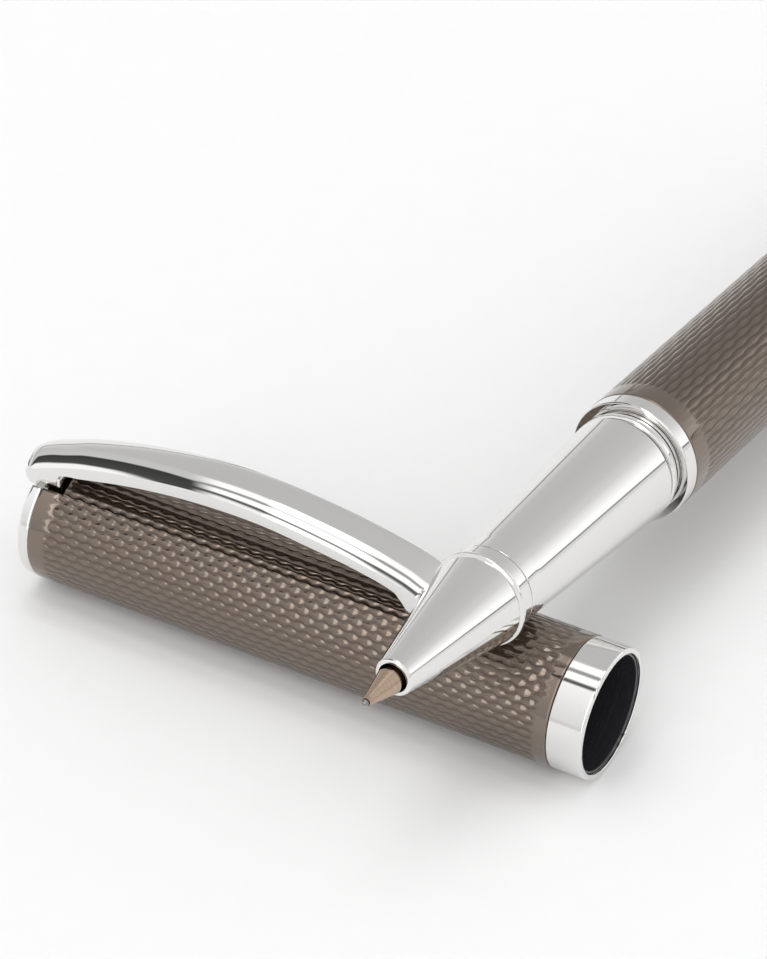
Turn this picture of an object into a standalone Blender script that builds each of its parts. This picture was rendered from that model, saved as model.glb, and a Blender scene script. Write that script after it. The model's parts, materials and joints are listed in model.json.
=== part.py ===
"""Capped rollerball pen, shown open: the cap lies on its side and the pen rests across it.

Metres, +Z up.  The cap axis runs along X with its mouth at +X.  The pen lies across the cap
behind its mouth, nose in the air, with the tail of its barrel on the ground.
The origin is the bottom centre of the box round the whole arrangement.

Turned pieces are drawn along their own axis.  A station on the pen is the distance from the
writing point towards the tail.  A station on the cap is the distance from the mouth, negative
towards the closed end.
"""
import math

import bmesh
import bpy
from mathutils import Matrix, Vector

MM = 0.001

# ---------------------------------------------------------------- fits
FIT_GAP = 0.06 * MM            # between pieces pressed or screwed together
RUN_GAP = 0.20 * MM            # round pieces that slide
REST_GAP = 0.10 * MM           # between the resting pen, the cap and the ground

# ---------------------------------------------------------------- refill
REFILL_RADIUS = 3.05 * MM      # full-length capped rollerball refill
REFILL_WALL = 0.40 * MM
BALL_RADIUS = 0.35 * MM        # 0.7 mm ball
TIP_LENGTH = 4.20 * MM         # visible nickel silver cone
TIP_BASE_RADIUS = 1.30 * MM
TIP_LIP_RADIUS = 0.47 * MM
STEM_RADIUS = 1.12 * MM
STEM_LENGTH = 7.80 * MM
WICK_RADIUS = 0.55 * MM
PLUG_SEAT_LENGTH = 3.60 * MM   # front plug inside the refill tube
REFILL_TUBE_LEAD = 3.00 * MM   # refill tube in front of the nose bead
REAR_PLUG_LENGTH = 3.00 * MM

# ---------------------------------------------------------------- nose and grip
NOSE_START = 4.78 * MM
NOSE_LENGTH = 14.62 * MM
NOSE_RIM_RADIUS = 1.87 * MM
NOSE_RIM_CHAMFER = 0.22 * MM
NOSE_HOLE_RADIUS = 1.45 * MM
NOSE_WALL = 0.60 * MM
SHOULDER_DEPTH = 4.40 * MM     # from the nose rim to the shoulder that stops the refill
BEAD_LENGTH = 0.55 * MM
BEAD_STEP = 0.43 * MM          # bead above the neck
NOSE_STEP = 0.18 * MM          # nose cone's rear edge above the neck
NOSE_SPIGOT_LENGTH = 7.0 * MM
COLLAR_LENGTH = 1.70 * MM
COLLAR_WALL = 0.46 * MM
NECK_LENGTH = 3.80 * MM        # straight part behind the bead
GRIP_TAPER_LENGTH = 21.70 * MM
GRIP_SWELL = 1.18 * MM         # radius gained along the taper
SNAP_ZONE_LENGTH = 1.90 * MM
SNAP_GROOVE_DEPTH = 0.43 * MM
SNAP_RING_WIDTH = 0.90 * MM
SNAP_SEAT_STEP = 0.30 * MM     # spigot under the snap ring
SNAP_RING_SINK = 0.05 * MM     # snap ring below the grip's rear edge
SNAP_RING_EDGE = 0.15 * MM
SPIGOT_SEAT_LENGTH = 7.40 * MM  # spigot inside the grip sleeve

# ---------------------------------------------------------------- thread
THREAD_PITCH = 0.75 * MM
THREAD_TURNS = 5
THREAD_HEIGHT = 0.36 * MM
THREAD_PLAY = 0.15 * MM
THREAD_SETBACK = 2.60 * MM     # from the barrel's front face to the first turn
SPIGOT_TIP_LENGTH = 1.20 * MM
SPIGOT_WALL = 1.22 * MM

# ---------------------------------------------------------------- barrel
TRIM_RING_LENGTH = 1.60 * MM
TRIM_RING_STEP = 0.06 * MM     # the ring's front edge is this much slimmer
TRIM_RING_EDGE = 0.12 * MM
TRIM_LIP_LENGTH = 0.80 * MM    # lip of the ring inside the tube
BARREL_LENGTH = 73.40 * MM     # trim ring to tail, end disc included
BARREL_TUBE_WALL = 0.50 * MM
INSERT_WALL = 0.71 * MM
INSERT_TAIL = 3.00 * MM
END_DISC_LENGTH = 1.30 * MM
END_DISC_STEP = 0.08 * MM      # end disc radius below the tube's
END_DISC_ROUND = 0.45 * MM
BARREL_PLUG_LENGTH = 3.00 * MM
SEAT_LENGTH = 1.90 * MM
SEAT_BOSS_LENGTH = 1.60 * MM
REFILL_SPRING_LENGTH = 5.50 * MM
REFILL_SPRING_WIRE = 0.22 * MM
REFILL_SPRING_TURNS = 5

# ---------------------------------------------------------------- cap
LINER_WALL = 0.19 * MM
LINER_PLAY = 0.07 * MM         # liner bore over the grip
MOUTH_RING_WALL = 0.55 * MM
MOUTH_RING_LENGTH = 3.50 * MM
MOUTH_RING_SEAT = 3.60 * MM    # sleeve of the ring inside the tube
MOUTH_RING_EDGE = 0.18 * MM
LINER_SETBACK = 0.30 * MM      # liner behind the mouth
TUBE_PROUD = 0.08 * MM         # tube above the rings at its ends
CAP_TUBE_WALL = 0.45 * MM
INNER_CAP_WALL = 0.90 * MM
INNER_CAP_FLOOR = 0.90 * MM
TIP_ROOM = 3.00 * MM           # free length before the writing point in the closed cap
CAP_PLUG_LENGTH = 7.70 * MM

# ---------------------------------------------------------------- clip
CLIP_LEAN = math.radians(97.0)  # clip direction round the cap, from +Y towards +Z
CLIP_HALF_WIDTH = 2.30 * MM
CLIP_SIDE_GAP = 0.30 * MM
CLIP_LEG_THICKNESS = 1.70 * MM
CLIP_LEG_END = 1.00 * MM       # height of the leg's end above the cap axis
CLIP_HEEL_DEPTH = 1.10 * MM    # heel in the end disc, below the tube's surface
CLIP_HOOK_STEP = 0.90 * MM     # hook under the root, above and below the tube's surface
CLIP_PIN_HEIGHT = 4.40 * MM
CLIP_PIN_SETBACK = 2.30 * MM   # pin axis in front of the closed end
CLIP_PIN_RADIUS = 0.40 * MM
CLIP_SLOT_LENGTH = 2.35 * MM
CLIP_SWING_GAP = 0.40 * MM     # room below the heel when the clip opens
CLIP_SPRING_HEIGHT = 2.20 * MM
CLIP_SPRING_POCKET = 1.15 * MM
CLIP_SPRING_DEPTH = 2.20 * MM
CLIP_SPRING_WIRE = 0.13 * MM
CLIP_SPRING_TURNS = 4
CLIP_PEN_GAP = 0.54 * MM       # between the clip's end and the pen that lies across the cap
CLIP_EDGE_ROUND = 0.55 * MM    # rounding of the two long top edges
# Arch of the clip: share of its reach from the closed end, height above the tube in millimetres.
CLIP_TOP = ((0.0, 1.50), (0.055, 3.05), (0.124, 4.30), (0.239, 5.65), (0.353, 6.55),
            (0.468, 7.05), (0.583, 7.00), (0.697, 6.45), (0.812, 5.55), (0.927, 4.15),
            (0.995, 2.75))
CLIP_UNDER = ((0.080, 1.45), (0.124, 1.95), (0.239, 3.35), (0.353, 4.35), (0.468, 4.90),
              (0.583, 5.00), (0.697, 4.45), (0.812, 3.70), (0.917, 2.40))
CLIP_FOOT = ((0.931, 0.95), (0.943, 0.18), (0.966, 0.18), (0.986, 0.80), (1.0, 1.55))

# ---------------------------------------------------------------- resting place
PEN_AZIMUTH = math.radians(86.7)   # pen direction, writing point to tail, from +X
CROSSING_SETBACK = 11.8 * MM       # from the cap's mouth to where the pen crosses
CROSSING_STATION = 24.3 * MM       # pen station over the cap

ROUND_SEGMENTS = 32
SMALL_SEGMENTS = 20

# ---------------------------------------------------------------- derived radii
REFILL_BORE = REFILL_RADIUS + RUN_GAP
NOSE_SPIGOT_RADIUS = REFILL_BORE + NOSE_WALL
NECK_RADIUS = NOSE_SPIGOT_RADIUS + FIT_GAP + COLLAR_WALL
NOSE_REAR_RADIUS = NECK_RADIUS + NOSE_STEP
BEAD_RADIUS = NECK_RADIUS + BEAD_STEP
GRIP_REAR_RADIUS = NECK_RADIUS + GRIP_SWELL
SPIGOT_BORE = REFILL_RADIUS + 1.5 * RUN_GAP
SPIGOT_RADIUS = SPIGOT_BORE + SPIGOT_WALL
THREAD_MID_RADIUS = SPIGOT_RADIUS + THREAD_HEIGHT / 2
INSERT_RADIUS = THREAD_MID_RADIUS + THREAD_PLAY + THREAD_HEIGHT / 2 + INSERT_WALL
BARREL_BORE = INSERT_RADIUS + FIT_GAP
BARREL_RADIUS = BARREL_BORE + BARREL_TUBE_WALL
BARREL_DISC_RADIUS = BARREL_RADIUS - END_DISC_STEP
LINER_BORE = GRIP_REAR_RADIUS + LINER_PLAY
MOUTH_BORE = LINER_BORE + LINER_WALL + FIT_GAP
MOUTH_RING_RADIUS = MOUTH_BORE + MOUTH_RING_WALL
CAP_RADIUS = MOUTH_RING_RADIUS + TUBE_PROUD
CAP_TUBE_BORE = CAP_RADIUS - CAP_TUBE_WALL
CAP_INSIDE_RADIUS = CAP_TUBE_BORE - FIT_GAP
CAP_DISC_RADIUS = CAP_RADIUS - END_DISC_STEP
INNER_CAP_RADIUS = LINER_BORE - FIT_GAP
INNER_CAP_BORE = INNER_CAP_RADIUS - INNER_CAP_WALL

# ---------------------------------------------------------------- derived pen stations
BEAD_FRONT = NOSE_START + NOSE_LENGTH
BEAD_REAR = BEAD_FRONT + BEAD_LENGTH
COLLAR_REAR = BEAD_REAR + COLLAR_LENGTH
TAPER_FRONT = BEAD_REAR + NECK_LENGTH
GRIP_REAR = TAPER_FRONT + GRIP_TAPER_LENGTH
BARREL_FRONT = GRIP_REAR + SNAP_ZONE_LENGTH
TUBE_FRONT = BARREL_FRONT + TRIM_RING_LENGTH
TAIL = BARREL_FRONT + BARREL_LENGTH + TRIM_RING_LENGTH
TUBE_REAR = TAIL - END_DISC_LENGTH
PLUG_FRONT = TUBE_REAR - BARREL_PLUG_LENGTH
SEAT_FRONT = PLUG_FRONT - FIT_GAP - SEAT_LENGTH
REFILL_REAR = SEAT_FRONT - REFILL_SPRING_LENGTH - FIT_GAP
REFILL_SHOULDER = NOSE_START + SHOULDER_DEPTH
REFILL_TUBE_FRONT = BEAD_FRONT - REFILL_TUBE_LEAD
REFILL_PLUG_REAR = REFILL_TUBE_FRONT + PLUG_SEAT_LENGTH
THREAD_FRONT = BARREL_FRONT + THREAD_SETBACK
THREAD_REAR = THREAD_FRONT + THREAD_TURNS * THREAD_PITCH

# ---------------------------------------------------------------- derived cap stations
CAPPED_POINT = -BARREL_FRONT   # where the writing point is when the cap is on
INNER_CAP_MOUTH = CAPPED_POINT + BEAD_FRONT - FIT_GAP
INNER_CAP_END = CAPPED_POINT - TIP_ROOM - INNER_CAP_FLOOR
CAP_PLUG_FRONT = INNER_CAP_END - FIT_GAP
CAP_TUBE_END = CAP_PLUG_FRONT - CAP_PLUG_LENGTH
CAP_END = CAP_TUBE_END - END_DISC_LENGTH


def empty_collection(name):
    collection = bpy.data.collections.new(name)
    bpy.context.scene.collection.children.link(collection)
    return collection


for old in list(bpy.data.objects):
    bpy.data.objects.remove(old, do_unlink=True)
PARTS = empty_collection("rollerball_pen")
CUTTERS = empty_collection("cutters")


def finish(name, colour, roughness, metallic):
    """A Principled BSDF material with one colour."""
    material = bpy.data.materials.new(name)
    material.use_nodes = True
    shader = material.node_tree.nodes["Principled BSDF"]
    shader.inputs["Base Color"].default_value = (*colour, 1.0)
    shader.inputs["Roughness"].default_value = roughness
    shader.inputs["Metallic"].default_value = metallic
    return material


CHROME = finish("polished_chrome", (0.62, 0.62, 0.61), 0.06, 1.0)
LACQUER = finish("engraved_taupe_metal", (0.17, 0.135, 0.115), 0.28, 0.9)
BRASS = finish("turned_brass", (0.60, 0.42, 0.16), 0.30, 1.0)
NICKEL_SILVER = finish("nickel_silver", (0.62, 0.54, 0.42), 0.22, 1.0)
STEEL = finish("spring_steel", (0.42, 0.42, 0.43), 0.30, 1.0)
BLACK_PLASTIC = finish("black_plastic", (0.012, 0.012, 0.013), 0.35, 0.0)
WHITE_PLASTIC = finish("white_plastic", (0.75, 0.75, 0.72), 0.45, 0.0)
REFILL_STEEL = finish("refill_tube_steel", (0.52, 0.52, 0.52), 0.25, 1.0)
FIBRE = finish("ink_fibre", (0.02, 0.03, 0.12), 0.90, 0.0)
CARBIDE = finish("carbide_ball", (0.30, 0.30, 0.31), 0.12, 1.0)


def axis_empty(name, parent, origin, axis, side):
    """An empty whose Z is the given axis and whose X points to the given side."""
    empty = bpy.data.objects.new(name, None)
    z_axis = axis.normalized()
    y_axis = z_axis.cross(side).normalized()
    x_axis = y_axis.cross(z_axis)
    turn = Matrix((x_axis, y_axis, z_axis)).transposed()
    empty.location = origin
    empty.rotation_mode = "QUATERNION"
    empty.rotation_quaternion = turn.to_quaternion()
    empty.parent = parent
    empty.empty_display_size = 0.01
    PARTS.objects.link(empty)
    return empty


def place(piece, material, parent, collection=PARTS):
    """Link a piece under its axis and give it its material."""
    collection.objects.link(piece)
    piece.parent = parent
    if material:
        piece.data.materials.append(material)
    return piece


def spun(name, profile, closed, material, parent, segments):
    """Turn a line of (station, radius) points that runs down the outer side, rear to front."""
    mesh = bpy.data.meshes.new(name)
    edges = [(i, i + 1) for i in range(len(profile) - 1)]
    if closed:
        edges.append((len(profile) - 1, 0))
    mesh.from_pydata([(radius, 0.0, station) for station, radius in profile], edges, [])
    piece = place(bpy.data.objects.new(name, mesh), material, parent)
    screw = piece.modifiers.new("turn", "SCREW")
    screw.axis = "Z"
    screw.angle = math.tau
    screw.steps = segments
    screw.render_steps = segments
    screw.use_merge_vertices = True
    screw.merge_threshold = 0.001 * MM
    screw.use_smooth_shade = True
    return piece


def turned(name, outer, inner, material, parent, segments=ROUND_SEGMENTS):
    """Turn a profile of (station, radius) points, both sides listed front to rear."""
    if inner:
        profile = list(reversed(outer)) + list(inner)
    else:
        profile = [(outer[-1][0], 0.0)] + list(reversed(outer)) + [(outer[0][0], 0.0)]
    return spun(name, profile, bool(inner), material, parent, segments)


def mesh_from(name, work, material, parent, collection=PARTS):
    """Make an object of a finished bmesh."""
    mesh = bpy.data.meshes.new(name)
    work.to_mesh(mesh)
    work.free()
    return place(bpy.data.objects.new(name, mesh), material, parent, collection)


def as_cutter(piece):
    piece.hide_render = True
    piece.display_type = "WIRE"
    return piece


def box_cutter(name, low, high, parent):
    work = bmesh.new()
    size = Vector(high) - Vector(low)
    centre = (Vector(high) + Vector(low)) / 2
    place_box = Matrix.Translation(centre) @ Matrix.Diagonal((*size, 1.0))
    bmesh.ops.create_cube(work, size=1.0, matrix=place_box)
    return as_cutter(mesh_from(name, work, None, parent, CUTTERS))


def rod(name, radius, length, centre, turn, material, parent, collection=PARTS):
    """A straight round bar with its middle at centre, turned from the Z axis."""
    work = bmesh.new()
    bmesh.ops.create_cone(work, cap_ends=True, cap_tris=False, segments=SMALL_SEGMENTS,
                          radius1=radius, radius2=radius, depth=length, matrix=turn)
    piece = mesh_from(name, work, material, parent, collection)
    piece.location = centre
    return piece


def cut(piece, cutter):
    boolean = piece.modifiers.new("cut_" + cutter.name, "BOOLEAN")
    boolean.operation = "DIFFERENCE"
    boolean.solver = "EXACT"
    boolean.object = cutter


def coil(name, radius, wire, start, end, turns, material, parent):
    """A compression spring along Z with its ends closed flat."""
    points_per_turn = 10
    count = turns * points_per_turn + 1
    curve = bpy.data.curves.new(name, "CURVE")
    curve.dimensions = "3D"
    curve.bevel_depth = wire
    curve.bevel_resolution = 2
    curve.use_fill_caps = True
    spline = curve.splines.new("POLY")
    spline.points.add(count - 1)
    low = start + wire
    high = end - wire
    for i in range(count):
        turn = i / points_per_turn
        share = i / (count - 1)
        angle = math.tau * turn
        spline.points[i].co = (radius * math.cos(angle), radius * math.sin(angle),
                               low + (high - low) * share, 1.0)
    return place(bpy.data.objects.new(name, curve), material, parent)


# ---------------------------------------------------------------- where the cap and pen lie
def lying_angle():
    """How far the tail dips: the pen touches the cap above and the ground at its tail."""
    span = TUBE_REAR - CROSSING_STATION
    apart = CAP_RADIUS + neck_radius_at(CROSSING_STATION) + REST_GAP
    drop = apart - BARREL_RADIUS
    return math.asin(CAP_RADIUS / math.hypot(span, drop)) + math.atan2(drop, span)


def neck_radius_at(station):
    """Outside radius of the neck and grip at a pen station."""
    share = max(0.0, (station - TAPER_FRONT) / GRIP_TAPER_LENGTH)
    return NECK_RADIUS + GRIP_SWELL * share


world = bpy.data.objects.new("arrangement", None)
PARTS.objects.link(world)
clip_side = Vector((0.0, math.cos(CLIP_LEAN), math.sin(CLIP_LEAN)))
cap_axis = axis_empty("cap_axis", world, Vector((0.0, 0.0, CAP_RADIUS + REST_GAP)),
                      Vector((1.0, 0.0, 0.0)), clip_side)
dip = lying_angle()
pen_direction = Vector((math.cos(dip) * math.cos(PEN_AZIMUTH),
                        math.cos(dip) * math.sin(PEN_AZIMUTH), -math.sin(dip)))
apart = CAP_RADIUS + neck_radius_at(CROSSING_STATION) + REST_GAP
crossing = Vector((-CROSSING_SETBACK, apart * math.sin(dip),
                   CAP_RADIUS + REST_GAP + apart * math.cos(dip)))
pen_axis = axis_empty("pen_axis", world, crossing - pen_direction * CROSSING_STATION,
                      pen_direction, Vector((0.0, 0.0, 1.0)))


# ---------------------------------------------------------------- cap
def build_cap_tube():
    """Engraved brass tube, open at both ends, notched for the clip's root."""
    front = -MOUTH_RING_LENGTH - FIT_GAP
    rear = CAP_TUBE_END + FIT_GAP
    tube = turned("cap_tube", [(rear, CAP_RADIUS), (front, CAP_RADIUS)],
                  [(rear, CAP_TUBE_BORE), (front, CAP_TUBE_BORE)], LACQUER, cap_axis)
    cut(tube, clip_notch)


def build_cap_mouth_ring():
    """Chrome ring that stiffens the mouth, with a sleeve inside the tube."""
    seat = -MOUTH_RING_LENGTH - MOUTH_RING_SEAT
    edge = MOUTH_RING_EDGE
    outer = [(seat, CAP_INSIDE_RADIUS), (-MOUTH_RING_LENGTH, CAP_INSIDE_RADIUS),
             (-MOUTH_RING_LENGTH, MOUTH_RING_RADIUS), (-edge, MOUTH_RING_RADIUS),
             (0.0, MOUTH_RING_RADIUS - edge)]
    inner = [(seat, MOUTH_BORE), (0.0, MOUTH_BORE)]
    turned("cap_mouth_ring", outer, inner, CHROME, cap_axis)


def build_cap_liner():
    """Black sleeve that the grip slides into."""
    front = -LINER_SETBACK
    step = -MOUTH_RING_LENGTH - MOUTH_RING_SEAT - FIT_GAP
    rear = CAP_PLUG_FRONT + FIT_GAP
    outer = [(rear, CAP_INSIDE_RADIUS), (step, CAP_INSIDE_RADIUS),
             (step, MOUTH_BORE - FIT_GAP), (front, MOUTH_BORE - FIT_GAP)]
    turned("cap_liner", outer, [(rear, LINER_BORE), (front, LINER_BORE)], BLACK_PLASTIC, cap_axis)


def build_inner_cap():
    """Cup that seals on the nose bead so that the ink doesn't dry."""
    floor = INNER_CAP_END + INNER_CAP_FLOOR
    rear = INNER_CAP_END + FIT_GAP
    profile = [(floor, 0.0), (floor, INNER_CAP_BORE), (INNER_CAP_MOUTH, INNER_CAP_BORE),
               (INNER_CAP_MOUTH, INNER_CAP_RADIUS), (rear, INNER_CAP_RADIUS), (rear, 0.0)]
    spun("inner_cap", profile, False, BLACK_PLASTIC, cap_axis, ROUND_SEGMENTS)


def disc_profile(flat_end, seat_end, radius, round_size):
    """Rounded disc: the outside face is at flat_end, the back face at seat_end."""
    way = 1.0 if seat_end > flat_end else -1.0
    corner = []
    for i in range(4):
        angle = math.radians(30.0 * i)
        corner.append((flat_end + way * round_size * (1.0 - math.sin(angle)),
                       radius - round_size * (1.0 - math.cos(angle))))
    points = corner + [(seat_end, radius)]
    return sorted(points)


def build_cap_end_disc():
    """Chrome end of the cap with an open slot for the clip."""
    profile = disc_profile(CAP_END, CAP_TUBE_END, CAP_DISC_RADIUS, END_DISC_ROUND)
    disc = turned("cap_end_disc", profile, None, CHROME, cap_axis)
    cut(disc, clip_heel_slot)


def build_cap_end_plug():
    """Brass plug inside the closed end, with the clip's slot, pin bore and spring pocket."""
    rear = CAP_TUBE_END + FIT_GAP
    plug = turned("cap_end_plug", [(rear, CAP_INSIDE_RADIUS), (CAP_PLUG_FRONT, CAP_INSIDE_RADIUS)],
                  None, BRASS, cap_axis)
    cut(plug, clip_leg_slot)
    cut(plug, pin_bore)
    cut(plug, spring_pocket)


def cross_turn():
    """Turns a bar from the cap's axis to the clip's cross direction."""
    return Matrix.Rotation(math.pi / 2, 4, "X")


side = CLIP_HALF_WIDTH + CLIP_SIDE_GAP
leg_rear = CAP_END + CLIP_PIN_SETBACK - CLIP_LEG_THICKNESS / 2
leg_front = leg_rear + CLIP_LEG_THICKNESS
slot_front = CAP_TUBE_END + CLIP_SLOT_LENGTH
heel_height = CAP_RADIUS - CLIP_HEEL_DEPTH
clip_notch = box_cutter("clip_notch", (CAP_RADIUS / 3, -side, CAP_END - MM),
                        (CAP_RADIUS + MM, side, slot_front), cap_axis)
clip_heel_slot = box_cutter("clip_heel_slot", (heel_height - CLIP_SWING_GAP, -side, CAP_END - MM),
                            (CAP_RADIUS + MM, side, CAP_TUBE_END + MM), cap_axis)
clip_leg_slot = box_cutter("clip_leg_slot", (CLIP_LEG_END - CLIP_SIDE_GAP, -side, CAP_END - MM),
                           (CAP_RADIUS + MM, side, slot_front), cap_axis)
pin_place = Vector((CLIP_PIN_HEIGHT, 0.0, CAP_END + CLIP_PIN_SETBACK))
pin_bore = as_cutter(rod("pin_bore", CLIP_PIN_RADIUS + FIT_GAP / 2, 4 * CAP_RADIUS, pin_place,
                         cross_turn(), None, cap_axis, CUTTERS))
pocket_centre = Vector((CLIP_SPRING_HEIGHT, 0.0, slot_front - MM + (CLIP_SPRING_DEPTH + MM) / 2))
spring_pocket = as_cutter(rod("spring_pocket", CLIP_SPRING_POCKET, CLIP_SPRING_DEPTH + MM,
                              pocket_centre, Matrix.Identity(4), None, cap_axis, CUTTERS))


def build_clip_pin():
    """Steel cross pin that the clip turns on."""
    top = CLIP_PIN_HEIGHT + CLIP_PIN_RADIUS
    half = math.sqrt(CAP_INSIDE_RADIUS ** 2 - top ** 2) - 2 * FIT_GAP
    rod("clip_pin", CLIP_PIN_RADIUS, 2 * half, pin_place, cross_turn(), STEEL, cap_axis)


def build_clip_spring():
    """Small coil that presses the clip's leg back and so its foot down."""
    start = leg_front + 2 * FIT_GAP
    end = slot_front + CLIP_SPRING_DEPTH - FIT_GAP
    radius = CLIP_SPRING_POCKET - CLIP_SPRING_WIRE - 2 * FIT_GAP
    spring = coil("clip_spring", radius, CLIP_SPRING_WIRE, start, end, CLIP_SPRING_TURNS,
                  STEEL, cap_axis)
    spring.location = (CLIP_SPRING_HEIGHT, 0.0, 0.0)


def smooth_line(points, steps):
    """Points on a smooth curve through the given ones (Catmull-Rom)."""
    ends = [points[0]] + list(points) + [points[-1]]
    line = []
    for i in range(1, len(ends) - 2):
        p0, p1, p2, p3 = (Vector(ends[i + k]) for k in (-1, 0, 1, 2))
        for step in range(steps):
            t = step / steps
            line.append(0.5 * (2 * p1 + (p2 - p0) * t + (2 * p0 - 5 * p1 + 4 * p2 - p3) * t ** 2
                               + (3 * p1 - p0 - 3 * p2 + p3) * t ** 3))
    line.append(Vector(points[-1]))
    return line


def build_clip():
    """Arched clip with its foot, heel and the leg that turns on the pin."""
    arch = smooth_line(CLIP_TOP, 2)
    top_count = len(arch)
    arch += smooth_line(tuple(reversed(CLIP_FOOT)), 2)
    arch += smooth_line(tuple(reversed(CLIP_UNDER)), 2)
    reach = -CAP_END - CROSSING_SETBACK - NECK_RADIUS - CLIP_PEN_GAP
    outline = [(CAP_RADIUS + height * MM, CAP_END + share * reach) for share, height in arch]
    hook = leg_front - CLIP_HOOK_STEP / 2
    outline += [(CAP_RADIUS + CLIP_HOOK_STEP, hook), (CAP_RADIUS, hook),
                (CAP_RADIUS - CLIP_HOOK_STEP, leg_front), (CLIP_LEG_END, leg_front),
                (CLIP_LEG_END, leg_rear), (heel_height, leg_rear), (heel_height, CAP_END)]
    outline = [(height - CLIP_PIN_HEIGHT, along - pin_place.z) for height, along in outline]
    work = bmesh.new()
    corners = [work.verts.new((height, -CLIP_HALF_WIDTH, along)) for height, along in outline]
    flat = work.faces.new(corners)
    grown = bmesh.ops.extrude_face_region(work, geom=[flat])
    moved = [v for v in grown["geom"] if isinstance(v, bmesh.types.BMVert)]
    bmesh.ops.translate(work, verts=moved, vec=(0.0, 2 * CLIP_HALF_WIDTH, 0.0))
    bmesh.ops.recalc_face_normals(work, faces=work.faces)
    top = {(round(height, 8), round(along, 8)) for height, along in outline[:top_count]}
    long_edges = [edge for edge in work.edges
                  if all((round(v.co.x, 8), round(v.co.z, 8)) in top for v in edge.verts)
                  and abs(edge.verts[0].co.y - edge.verts[1].co.y) < CLIP_HALF_WIDTH]
    bmesh.ops.bevel(work, geom=long_edges, offset=CLIP_EDGE_ROUND, segments=2, profile=0.5,
                    affect="EDGES", material=-1)
    clip = mesh_from("clip", work, CHROME, clip_hinge)
    bore = rod("clip_bore", CLIP_PIN_RADIUS + FIT_GAP, 4 * CAP_RADIUS, Vector((0.0, 0.0, 0.0)),
               cross_turn(), None, clip_hinge, CUTTERS)
    cut(clip, as_cutter(bore))


clip_hinge = bpy.data.objects.new("clip_hinge", None)
clip_hinge.location = pin_place
clip_hinge.parent = cap_axis
PARTS.objects.link(clip_hinge)


# ---------------------------------------------------------------- nose and grip
def nose_radius_at(station):
    """Outside radius of the nose cone."""
    share = (station - NOSE_START) / NOSE_LENGTH
    return NOSE_RIM_RADIUS + (NOSE_REAR_RADIUS - NOSE_RIM_RADIUS) * share


def build_nose_cone():
    """Chrome cone with the bead behind it and a spigot that carries the neck."""
    spigot_rear = BEAD_REAR + NOSE_SPIGOT_LENGTH
    outer = [(NOSE_START, NOSE_RIM_RADIUS - NOSE_RIM_CHAMFER),
             (NOSE_START + NOSE_RIM_CHAMFER, NOSE_RIM_RADIUS),
             (BEAD_FRONT - FIT_GAP, NOSE_REAR_RADIUS), (BEAD_FRONT, BEAD_RADIUS),
             (BEAD_REAR, BEAD_RADIUS), (BEAD_REAR, NOSE_SPIGOT_RADIUS),
             (spigot_rear, NOSE_SPIGOT_RADIUS)]
    wide = REFILL_TUBE_FRONT - FIT_GAP
    inner = [(NOSE_START, NOSE_HOLE_RADIUS), (REFILL_SHOULDER, NOSE_HOLE_RADIUS),
             (REFILL_SHOULDER, nose_radius_at(REFILL_SHOULDER) - NOSE_WALL),
             (wide, REFILL_BORE), (spigot_rear, REFILL_BORE)]
    turned("nose_cone", outer, inner, CHROME, pen_axis)


def build_neck_collar():
    """Short chrome collar behind the bead."""
    front = BEAD_REAR + FIT_GAP
    bore = NOSE_SPIGOT_RADIUS + FIT_GAP
    turned("neck_collar", [(front, NECK_RADIUS), (COLLAR_REAR, NECK_RADIUS)],
           [(front, bore), (COLLAR_REAR, bore)], CHROME, pen_axis)


def build_grip_sleeve():
    """Long tapering chrome grip."""
    front = COLLAR_REAR + FIT_GAP
    step = BEAD_REAR + NOSE_SPIGOT_LENGTH + FIT_GAP
    seat = GRIP_REAR - SPIGOT_SEAT_LENGTH
    nose_bore = NOSE_SPIGOT_RADIUS + FIT_GAP
    spigot_bore = SPIGOT_RADIUS + FIT_GAP
    outer = [(front, NECK_RADIUS), (TAPER_FRONT, NECK_RADIUS), (GRIP_REAR, GRIP_REAR_RADIUS)]
    inner = [(front, nose_bore), (step, nose_bore), (step, SPIGOT_BORE), (seat, SPIGOT_BORE),
             (seat, spigot_bore), (GRIP_REAR, spigot_bore)]
    turned("grip_sleeve", outer, inner, CHROME, pen_axis)


def thread_radius(middle, turn, station, fade_to):
    """Radius of a right-hand thread at an angle (in turns) and a station."""
    phase = ((station - THREAD_FRONT) / THREAD_PITCH - turn) % 1.0
    wave = abs(2 * phase - 1) * 2 - 1
    radius = middle + wave * THREAD_HEIGHT / 2
    inside = min(station - THREAD_FRONT, THREAD_REAR - station) / THREAD_PITCH
    share = max(0.0, min(1.0, 2 * inside))
    return fade_to + (radius - fade_to) * share


def threaded(name, rows, material):
    """A turned ring whose rows may carry a thread: each row is (station, radius at a turn)."""
    work = bmesh.new()
    rings = []
    for station, radius_at in rows:
        ring = []
        for i in range(ROUND_SEGMENTS):
            turn = i / ROUND_SEGMENTS
            radius = radius_at(turn)
            angle = math.tau * turn
            ring.append(work.verts.new((radius * math.cos(angle), radius * math.sin(angle), station)))
        rings.append(ring)
    for row, ring in enumerate(rings):
        following = rings[(row + 1) % len(rings)]
        for i in range(ROUND_SEGMENTS):
            j = (i + 1) % ROUND_SEGMENTS
            work.faces.new((ring[i], ring[j], following[j], following[i]))
    bmesh.ops.recalc_face_normals(work, faces=work.faces)
    return mesh_from(name, work, material, pen_axis)


def plain_rows(points):
    """Rows of constant radius."""
    return [(station, lambda turn, radius=radius: radius) for station, radius in points]


def thread_rows(middle, fade_to):
    """Six rows for each turn of the thread."""
    rows = []
    count = 6 * THREAD_TURNS
    for i in range(1, count):
        station = THREAD_FRONT + (THREAD_REAR - THREAD_FRONT) * i / count
        rows.append((station, lambda turn, z=station: thread_radius(middle, turn, z, fade_to)))
    return rows


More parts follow.
